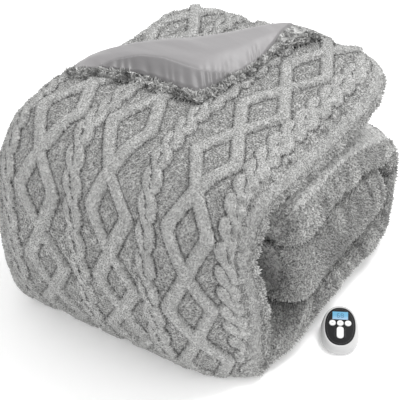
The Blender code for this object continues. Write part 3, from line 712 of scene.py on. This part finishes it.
def buildLining(heights):
    u = np.linspace(0, lining["reach"][-1][0], lining["rows"])[:, None] * np.ones(lining["columns"])
    reach = np.interp(u[:, 0], *np.transpose(lining["reach"]))[:, None]
    v = np.linspace(0, 1, lining["columns"]) * reach
    fold, edge = (
        np.stack([np.interp(u, np.linspace(0, 1, 400), line[:, axis]) for axis in (0, 1)], axis=-1)
        for line in cornerLines(400)
    )
    plan = fold + (edge - fold) * v[..., None]
    grid = np.dstack([plan, bilinear(heights, u, v) + corner["gap"] + cornerRise(v, u)])
    normals = unitLength(np.cross(np.gradient(grid, axis=1), np.gradient(grid, axis=0)))
    normals *= np.sign(normals[..., 2:3] + 1e-9)
    # gathers where the lining is sewn to the plush, fewer and softer further in
    length = lining["length"] * u
    flat = np.dstack([length, 0.02 * v, 0 * u])
    wobble = lining["gatherWander"] * softNoise(flat, 0.033, 21)
    pleats = np.sin(2 * math.pi * (length / lining["gatherSize"] + wobble))
    strength = np.clip(0.45 + 0.75 * softNoise(flat, 0.05, 22), 0, 1)
    strength = smoothStep(v, *lining["gatherFrom"]) * strength
    lift = lining["lift"] + lining["gather"] * pleats * strength
    # the long crease, with the gathered cloth standing up in front of it
    beyond = v - np.interp(u, *np.transpose(lining["crease"]))
    within = smoothStep(u, *lining["creaseFrom"]) * smoothStep(-u, *lining["creaseTo"])
    low, high = lining["creaseRise"]
    lift = lift + lining["creaseStep"] * within * (
        smoothStep(beyond, low, high) * np.exp(-np.maximum(beyond - high, 0) / lining["creaseFall"])
        - lining["creaseDepth"] * bump(beyond, 0, lining["creaseWidth"])
    )
    # soft pulls over the crest
    pulls = softNoise(grid * lining["pullStretch"], lining["pullSize"], 23)
    lift = lift + lining["pull"] * pulls * smoothStep(v, *lining["pullFrom"])
    grid = grid + normals * lift[..., None]
    grid[..., 2] -= lining["hemSink"] * smoothStep(v, reach - lining["hem"], reach)
    # painted shade over the lining's lower band, beyond its crease
    shade = lining["creaseShade"] * smoothStep(beyond, -0.02, 0.06) * smoothStep(u, 0.04, 0.12)
    obj = gridObject("liningCloth", grid, dict(tone=1 - shade), closedRound=False)
    faceOutwards(obj)
    if obj.data.polygons[len(obj.data.polygons) // 2].normal.z < 0:
        obj.data.flip_normals()
    wall = obj.modifiers.new("thickness", "SOLIDIFY")
    wall.thickness, wall.offset = lining["thickness"], -1
    return obj, sum(face.area for face in obj.data.polygons)


# one tuft is a three-sided spike that leans its own way; a field of them may say otherwise
pile = dict(
    spacing=0.0041, length=0.0038, width=0.0050, lean=0.45, scale=((0.75, 0.75, 0.6), (1.3, 1.3, 1.3)),
    spin=3.14, crowding=3.0, offFloor=0.006, endOfTop=0.60, endOfFront=1.16,
    fields=dict(
        pileTop=dict(seed=4), pileFront=dict(seed=5), pileBack=dict(seed=6, spacing=0.0044),
        pileSides=dict(seed=7, length=0.0068),
        rimFur=dict(seed=8, spacing=0.0040, length=0.0088, width=0.0056, lean=0.9),
    ),
)


def pileTree(material):
    tree, given = newGroup("growPile", "GeometryNodeTree", {
        "Geometry": None, "Spacing": 0.005, "Length": 0.005, "Width": 0.005, "Lean": 0.5, "Seed": 1,
    }, {"Geometry": None})
    add, maths = builders(tree)
    area = maths("MULTIPLY", given["Spacing"], given["Spacing"])
    spread = add("GeometryNodeDistributePointsOnFaces", {
        "Mesh": given["Geometry"], "Distance Min": given["Spacing"],
        "Density Max": maths("DIVIDE", pile["crowding"], area), "Seed": given["Seed"],
    }, distribute_method="POISSON").outputs
    tuft = add("GeometryNodeMeshCone", {
        "Vertices": 3, "Radius Top": 0.0, "Radius Bottom": maths("MULTIPLY", given["Width"], 0.5),
        "Depth": given["Length"],
    }, fill_type="TRIANGLE_FAN")
    # "tip" runs from 0 at a tuft's root to 1 at its tip, for the painted shade toward the root
    height = add("ShaderNodeSeparateXYZ", {0: add("GeometryNodeInputPosition")}).outputs["Z"]
    marked = add("GeometryNodeStoreNamedAttribute", {
        "Name": "tip", "Geometry": tuft, "Value": maths("DIVIDE", height, given["Length"]),
    })
    least, most = pile["scale"]
    size = add("FunctionNodeRandomValue", {"Min": least, "Max": most}, data_type="FLOAT_VECTOR")
    nap = add("GeometryNodeInputNamedAttribute", {"Name": "nap"})
    scale = add("ShaderNodeVectorMath", {0: size, "Scale": nap}, operation="SCALE")
    stand = add("GeometryNodeInstanceOnPoints", {
        "Points": spread["Points"], "Instance": marked, "Rotation": spread["Rotation"], "Scale": scale,
    })
    lean, back, spin = given["Lean"], maths("MULTIPLY", given["Lean"], -1), pile["spin"]
    low = add("ShaderNodeCombineXYZ", {"X": back, "Y": back, "Z": -spin})
    high = add("ShaderNodeCombineXYZ", {"X": lean, "Y": lean, "Z": spin})
    tilt = add("FunctionNodeRandomValue", {"Min": low, "Max": high}, data_type="FLOAT_VECTOR")
    turn = add("GeometryNodeRotateInstances", {"Instances": stand, "Rotation": tilt})
    real = add("GeometryNodeRealizeInstances", {"Geometry": turn})
    coat = add("GeometryNodeSetMaterial", {"Geometry": real, "Material": material})
    add("NodeGroupOutput", {"Geometry": coat})
    return tree


def pilePatch(source, keep):
    # the faces of a piece that keep marks, as a piece of their own, with its layers
    mesh = source.data
    ends = np.empty(len(mesh.loops), np.int64)
    mesh.loops.foreach_get("vertex_index", ends)
    places = np.empty(3 * len(mesh.vertices))
    mesh.vertices.foreach_get("co", places)
    faces = ends[:4 * keep.size].reshape(-1, 4)[keep.reshape(-1)]
    used, index = np.unique(faces, return_inverse=True)
    patch = bpy.data.meshes.new("patch")
    patch.from_pydata(places.reshape(-1, 3)[used].tolist(), [], index.reshape(-1, 4).tolist())
    for layer in mesh.attributes:
        if layer.data_type == "FLOAT" and layer.domain == "POINT":
            values = np.empty(len(mesh.vertices), np.float32)
            layer.data.foreach_get("value", values)
            copied = patch.attributes.new(layer.name, "FLOAT", "POINT")
            copied.data.foreach_set("value", values[used])
    return placed("patch", patch)


def growPile(name, patch, tree):
    # pile over a patch as one plain mesh; the patch itself is dropped
    grow = patch.modifiers.new("pile", "NODES")
    grow.node_group = tree
    settings = {**pile, **pile["fields"][name]}
    for socket in tree.interface.items_tree:
        key = socket.name.lower()
        if socket.in_out == "INPUT" and key in settings:
            grow[socket.identifier] = settings[key]
    bpy.context.view_layer.update()
    graph = bpy.context.evaluated_depsgraph_get()
    mesh = bpy.data.meshes.new_from_object(patch.evaluated_get(graph))
    bpy.data.objects.remove(patch)
    mesh.name = name
    obj = placed(name, mesh)
    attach(obj, "blanket")
    print(name, len(mesh.polygons), "faces")


def growBlanketPile(blanket, shaped, covered, surface, tree):
    column, along = np.arange(covered.shape[1]), surface["run"][:-1]
    lastOuter = strip["outerPoints"] - 1
    free = (shaped[:-1, :, 2] > pile["offFloor"]) & ~covered[:-1]
    shown = free & (column < lastOuter) & (surface["carved"][:-1] > 0.5)
    sides = (column >= lastOuter) & (column < lastOuter + strip["rimPoints"] + strip["rollPoints"])
    top, front = along < pile["endOfTop"], along < pile["endOfFront"]
    for name, keep in (
        ("pileTop", shown & top), ("pileFront", shown & ~top & front), ("pileBack", shown & ~front),
        ("pileSides", free & sides),
    ):
        growPile(name, pilePatch(blanket, keep), tree)


def growRimFur(flap, tree):
    nap = np.empty(len(flap.data.vertices), np.float32)
    flap.data.attributes["nap"].data.foreach_get("value", nap)
    growPile("rimFur", pilePatch(flap, nap.reshape(corner["stations"], -1)[:-1] > 0.5), tree)


def makePileGrain():
    # clumps and threads of pile, as a value from 0 in a hollow to 1 on a curl
    group, given = newGroup("pileGrain", "ShaderNodeTree", {
        "Clump Size": 0.008, "Thread Size": 0.0034, "Contrast": 0.22, "Middle": 0.44,
    }, {"Grain": 0.0})
    add, maths = builders(group)
    place = add("ShaderNodeTexCoord").outputs["Object"]
    clumps, threads = (
        add("ShaderNodeTexNoise", {
            "Vector": place, "Scale": maths("DIVIDE", 1, given[label]), "Detail": 2, "Roughness": 0.6,
        })
        for label in ("Clump Size", "Thread Size")
    )
    mix = add("ShaderNodeMix", {"Factor": 0.6, "A": clumps, "B": threads})
    half = maths("MULTIPLY", given["Contrast"], 0.5)
    spread = add("ShaderNodeMapRange", {
        "Value": mix, "From Min": maths("SUBTRACT", given["Middle"], half),
        "From Max": maths("ADD", given["Middle"], half),
    })
    add("NodeGroupOutput", {"Grain": spread})
    return group


def makeFootShade():
    # painted shade of the pile from the pattern: darkest just outside a bar's outline, darker on the ground,
    # light on the bars
    group, given = newGroup("carvedFootShade", "ShaderNodeTree", {
        "Edge": -20.0, "Carve": 0.0, "Grain": 0.5,
        "Foot Shade At": -1.2, "Foot Shade Width": 3.2, "Depth": 0.6, "Ground": 0.93, "Calm": 0.5,
    }, {"Shade": 0.0, "Grain": 0.0})
    add, maths = builders(group)
    carve, curls = given["Carve"], given["Grain"]
    # the curls make the painted shade along the outline ragged and break it up, and are calmer on the bars
    edge = maths("ADD", given["Edge"], maths("MULTIPLY_ADD", curls, 2.0, -1.0))
    away = maths("ABSOLUTE", maths("SUBTRACT", edge, given["Foot Shade At"]))
    near = maths("SUBTRACT", 1, maths("DIVIDE", away, given["Foot Shade Width"]), clamp=True)
    line = maths("MULTIPLY", maths("MULTIPLY", near, carve), given["Depth"])
    line = maths("MULTIPLY", line, maths("MULTIPLY_ADD", curls, -0.55, 1.25))
    top = maths("MULTIPLY_ADD", edge, 0.35, 0.5, clamp=True)
    # painted shade over the ground between the bars
    ground = maths("MULTIPLY", maths("SUBTRACT", 1, given["Ground"]), carve)
    low = maths("SUBTRACT", 1, maths("MULTIPLY", ground, maths("SUBTRACT", 1, top)))
    calm = maths("MULTIPLY", maths("MULTIPLY", top, carve), given["Calm"])
    add("NodeGroupOutput", {
        "Shade": maths("MULTIPLY", low, maths("SUBTRACT", 1, line, clamp=True)),
        "Grain": maths("ADD", curls, maths("MULTIPLY", calm, maths("SUBTRACT", 0.74, curls))),
    })
    return group


# dark is the colour in the hollows, light on the curls: partly the pile's own mottle, partly painted shade
# in its hollows; the base under the spikes is darker as painted shade under the pile, the spikes get painted
# shade toward their root, and the outline settings set the painted shade along the pattern
plushFinish = dict(
    base=dict(
        dark=(0.14, 0.14, 0.137), light=(0.54, 0.54, 0.532), bump=0.0026,
        outline={"Depth": 0.70, "Foot Shade Width": 3.0, "Ground": 0.90},
    ),
    pile=dict(
        dark=(0.32, 0.32, 0.315), light=(0.70, 0.70, 0.689), bump=0.0003,
        outline={"Depth": 0.62, "Foot Shade Width": 3.0, "Ground": 0.92},
    ),
    rootShade=0.40, sheen=0.10, sheenRoughness=0.6, roughness=0.95, specular=0.12,
)


def makePlush(name, grain, outline, kind):
    look = plushFinish[kind]
    material = newMaterial(name, {
        "Roughness": plushFinish["roughness"], "Specular IOR Level": plushFinish["specular"],
        "Sheen Weight": plushFinish["sheen"], "Sheen Roughness": plushFinish["sheenRoughness"],
    })
    add, maths = builders(material.node_tree)

    def layer(name):
        return add("ShaderNodeAttribute", attribute_name=name).outputs["Fac"]

    curls = add("ShaderNodeGroup", node_tree=grain)
    shadeAndGrain = add("ShaderNodeGroup", node_tree=outline)
    setInputs(shadeAndGrain, {
        "Edge": layer("edge"), "Carve": layer("carve"), "Grain": curls, **look["outline"],
    })
    # the grain's colour: the pile's own mottle, with painted shade in its hollows
    colour = add("ShaderNodeMix", {
        "Factor": shadeAndGrain.outputs["Grain"], "A": (*look["dark"], 1), "B": (*look["light"], 1),
    }, data_type="RGBA")
    # painted shade and light from the tone layer and the pattern; on the spikes, painted shade toward their
    # root
    shade = maths("MULTIPLY", layer("tone"), shadeAndGrain.outputs["Shade"])
    if kind == "pile":
        rise = add("ShaderNodeMapRange", {"Value": layer("tip"), "To Min": plushFinish["rootShade"]})
        shade = maths("MULTIPLY", shade, rise)
    shaded = add("ShaderNodeVectorMath", {0: colour, "Scale": shade}, operation="SCALE")
    raised = add("ShaderNodeBump", {"Height": curls, "Strength": 1, "Distance": look["bump"]})
    setShader(material, {"Base Color": shaded, "Normal": raised})
    return material


liningFinish = dict(
    colour=(0.235, 0.228, 0.232), roughness=0.42, specular=0.4, sheen=0.15,
    threads=1400, threadWander=0.4, threadDepth=0.0001, threadBump=0.5,
    mottleScale=(14, 46, 20), mottleTurn=(0, 0, 0.9), mottleShade=(0.90, 1.10),
    wrinkle=0.0009, wrinkleBump=0.8,
)


def makeLiningCloth():
    # smooth woven cloth: fine threads both ways, a soft mottle and small wrinkles
    look = liningFinish
    material = newMaterial("liningWeave", {
        "Roughness": look["roughness"], "Specular IOR Level": look["specular"],
        "Sheen Weight": look["sheen"],
    })
    add, maths = builders(material.node_tree)
    place = add("ShaderNodeTexCoord").outputs["Object"]
    weave = maths("MULTIPLY", *(
        add("ShaderNodeTexWave", {
            "Vector": place, "Scale": look["threads"] / (2 * math.pi),
            "Distortion": look["threadWander"],
        }, bands_direction=axis).outputs["Fac"]
        for axis in ("X", "Y")
    ))
    stretch = add("ShaderNodeMapping", {
        "Vector": place, "Rotation": look["mottleTurn"], "Scale": look["mottleScale"],
    })
    mottle = add("ShaderNodeTexNoise", {"Vector": stretch, "Scale": 1.0, "Detail": 3})
    dark, light = look["mottleShade"]
    shade = add("ShaderNodeMapRange", {"Value": mottle, "To Min": dark, "To Max": light})
    tone = add("ShaderNodeAttribute", attribute_name="tone").outputs["Fac"]
    colour = add("ShaderNodeVectorMath", {
        0: look["colour"], "Scale": maths("MULTIPLY", shade, tone),
    }, operation="SCALE")
    wrinkles = add("ShaderNodeBump", {
        "Height": mottle, "Distance": look["wrinkle"], "Strength": look["wrinkleBump"],
    })
    woven = add("ShaderNodeBump", {
        "Height": weave, "Distance": look["threadDepth"], "Strength": look["threadBump"],
        "Normal": wrinkles,
    })
    setShader(material, {"Base Color": colour, "Normal": woven})
    return material


controllerFinish = dict(
    shellPlastic=dict(colour=(0.56, 0.56, 0.56), roughness=0.38, mould=0.00006, specular=0.3),
    keyPlastic=dict(colour=(0.78, 0.78, 0.78), roughness=0.45, mould=0.00003, specular=0.3),
    facePlastic=dict(colour=(0.008, 0.008, 0.009), roughness=0.22, mould=0.00001, specular=0.10),
    displayInk=dict(colour=(0.03, 0.09, 0.18), roughness=0.4, mould=0.00001, specular=0.3),
    markGrey=dict(colour=(0.32, 0.32, 0.33), roughness=0.5, mould=0.00001, specular=0.3),
    lineGrey=dict(colour=(0.07, 0.07, 0.072), roughness=0.3, mould=0.00001, specular=0.3),
)


def makePlastic(name):
    # moulded plastic: a fine uneven surface and a roughness that varies a little
    look = controllerFinish[name]
    material = newMaterial(name, {
        "Base Color": (*look["colour"], 1), "Roughness": look["roughness"],
        "Specular IOR Level": look["specular"],
    })
    add, _ = builders(material.node_tree)
    place = add("ShaderNodeTexCoord").outputs["Object"]
    grit, haze = (
        add("ShaderNodeTexNoise", {"Vector": place, "Scale": scale}) for scale in (2600, 70)
    )
    rough = add("ShaderNodeMapRange", {
        "Value": haze, "To Min": 0.85 * look["roughness"], "To Max": 1.2 * look["roughness"],
    })
    uneven = add("ShaderNodeBump", {"Height": grit, "Distance": look["mould"], "Strength": 0.6})
    setShader(material, {"Roughness": rough, "Normal": uneven})
    return material


# the controller's sloping face: its middle, how it is turned and tilted, and what lies on it
controller = dict(
    face=(0.3045, -0.072, 0.028), turn=math.radians(29), tilt=math.radians(14),
    faceSize=(0.0575, 0.085), faceRound=2.25, displayY=0.0243, displaySize=(0.0295, 0.0175),
    digits="68", digitSize=(0.0044, 0.0086), digitPitch=0.0072, stroke=0.0010,
    keyPitch=0.0147, keyY=0.0070, keyTop=0.0014, mark=(0.0036, 0.0007),
    rimLine=(0.0034, 0.0003), rimPoints=72, sideLines=(0.0098, -0.0142, 0.021),
    figureSunk=0.0002, figureProud=0.00008, digitsTop=0.0005, linesTop=0.0003,
)


def faceAxes():
    turned = Matrix.Rotation(controller["turn"], 3, "Z")
    tilted = turned @ Matrix.Rotation(controller["tilt"], 3, "X")
    return turned @ Vector((1, 0, 0)), tilted @ Vector((0, 1, 0))


def onFace(name, outlines, rise, body, finish):
    # flat figures on the controller's face, each a slim block over its outline
    right, up = faceAxes()
    out = right.cross(up)
    middle = Vector(controller["face"])
    bm = bmesh.new()
    for outline in outlines:
        low, high = (
            [bm.verts.new(middle + right * x + up * y + out * h) for x, y in outline]
            for h in (rise - controller["figureSunk"], rise + controller["figureProud"])
        )
        bm.faces.new(high)
        bm.faces.new(low[::-1])
        for k in range(len(low)):
            m = (k + 1) % len(low)
            bm.faces.new((low[k], low[m], high[m], high[k]))
    bmesh.ops.recalc_face_normals(bm, faces=bm.faces)
    mesh = bpy.data.meshes.new(name)
    bm.to_mesh(mesh)
    bm.free()
    mesh.materials.append(finish)
    obj = placed(name, mesh)
    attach(obj, body)


def bar(x, y, width, height):
    return [(x - width / 2, y - height / 2), (x + width / 2, y - height / 2),
            (x + width / 2, y + height / 2), (x - width / 2, y + height / 2)]


def digitBars():
    # seven-bar figures in the middle of the display
    lit = {"6": "acdefg", "8": "abcdefg"}
    width, height = controller["digitSize"]
    stroke, digits = controller["stroke"], controller["digits"]
    level, upright = (width - stroke, stroke), (stroke, height / 2 - stroke)
    # each bar's place from the figure's middle, in half widths and quarter heights
    places = dict(
        a=(0, 2, level), d=(0, -2, level), g=(0, 0, level),
        b=(1, 1, upright), c=(1, -1, upright), e=(-1, -1, upright), f=(-1, 1, upright),
    )
    bars = []
    for number, digit in enumerate(digits):
        middle = (number - 0.5 * (len(digits) - 1)) * controller["digitPitch"]
        for i, j, size in (places[key] for key in lit[digit]):
            bars.append(bar(middle + i * width / 2, controller["displayY"] + j * height / 4, *size))
    return bars


def faceLines():
    # a fine line inside the face's rim, and one at each side of the level key
    inset, width = controller["rimLine"]
    count, power = controller["rimPoints"], 2 / controller["faceRound"]
    angles = 2 * math.pi * np.arange(count) / count
    x, y = (np.sign(turn) * np.abs(turn) ** power for turn in (np.cos(angles), np.sin(angles)))
    outer, inner = (
        [(a * (0.5 * controller["faceSize"][0] - less), b * (0.5 * controller["faceSize"][1] - less))
         for a, b in zip(x, y)]
        for less in (inset, inset + width)
    )
    pieces = [
        [outer[k], outer[(k + 1) % count], inner[(k + 1) % count], inner[k]] for k in range(count)
    ]
    x, y, length = controller["sideLines"]
    return pieces + [bar(-x, y, width, length), bar(x, y, width, length)]


displayFinish = dict(
    low=(0.36, 0.50, 0.66), high=(0.13, 0.36, 0.54), glow=0.12, roughness=0.14, specular=0.15,
    haze=0.35, hazeScale=160, fullAt=0.3,
)


def makeDisplay():
    # a lit window, paler towards its lower edge
    look = displayFinish
    _, up = faceAxes()
    middle = up.dot(Vector(controller["face"]) + up * controller["displayY"])
    half = 0.5 * controller["displaySize"][1]
    material = newMaterial("displayWindow", {
        "Base Color": (*look["high"], 1), "Roughness": look["roughness"],
        "Specular IOR Level": look["specular"], "Emission Strength": look["glow"],
    })
    add, maths = builders(material.node_tree)
    place = add("ShaderNodeTexCoord").outputs["Object"]
    along = add("ShaderNodeVectorMath", {0: place, 1: up}, operation="DOT_PRODUCT")
    blend = add("ShaderNodeMapRange", {
        "Value": along, "From Min": middle - half, "From Max": middle + look["fullAt"] * half,
    })
    haze = add("ShaderNodeTexNoise", {"Vector": place, "Scale": look["hazeScale"]})
    colour = add("ShaderNodeMix", {
        "Factor": maths("MULTIPLY_ADD", haze, look["haze"], blend, clamp=True),
        "A": (*look["low"], 1), "B": (*look["high"], 1),
    }, data_type="RGBA")
    setShader(material, {"Base Color": colour, "Emission Color": colour})
    return material


addCamera()
addStudio()
print("camera and studio")

grain, outline = makePileGrain(), makeFootShade()
plush = makePlush("carvedPlush", grain, outline, "base")
fibre = makePlush("pileFibre", grain, outline, "pile")
surface = buildStripSurface()
shaped, layers, covered = buildPlush(surface)
blanket = gridObject("blanketPlush", shaped, layers)
faceOutwards(blanket)
blanket.data.materials.append(plush)
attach(blanket, "blanket")
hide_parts("blanket_plush")
print("blanket", len(blanket.data.polygons), "faces")

heights = topUnder(surface)
flap = buildCorner(heights)
flap.data.materials.append(plush)
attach(flap, "blanket")
cloth, clothArea = buildLining(heights)
cloth.data.materials.append(makeLiningCloth())
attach(cloth, "blanket")
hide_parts("backing_cloth")
print("turned-back corner and lining of", round(clothArea, 3), "square metres")

tree = pileTree(fibre)
growBlanketPile(blanket, shaped, covered, surface, tree)
growRimFur(flap, tree)
print("pile")

finishes = {name: makePlastic(name) for name in controllerFinish}
finishes["displayWindow"] = makeDisplay()
finishOf = dict(
    controller_housing="shellPlastic", controller_face="facePlastic",
    controller_display="displayWindow", key_left="keyPlastic", key_middle="keyPlastic",
    key_right="keyPlastic", key_level="keyPlastic",
)
for name, finish in finishOf.items():
    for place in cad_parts[name].material_slots:
        place.material = finishes[finish]
ink = finishes["displayInk"]
onFace("displayDigits", digitBars(), controller["digitsTop"], "blanket", ink)
onFace("faceLines", faceLines(), controller["linesTop"], "blanket", finishes["lineGrey"])
for step, key in zip((-1, 0, 1), ("key_left", "key_middle", "key_right")):
    mark = bar(step * controller["keyPitch"], controller["keyY"], *controller["mark"])
    onFace(key + "Mark", [mark], controller["keyTop"], key, finishes["markGrey"])
print("controller")
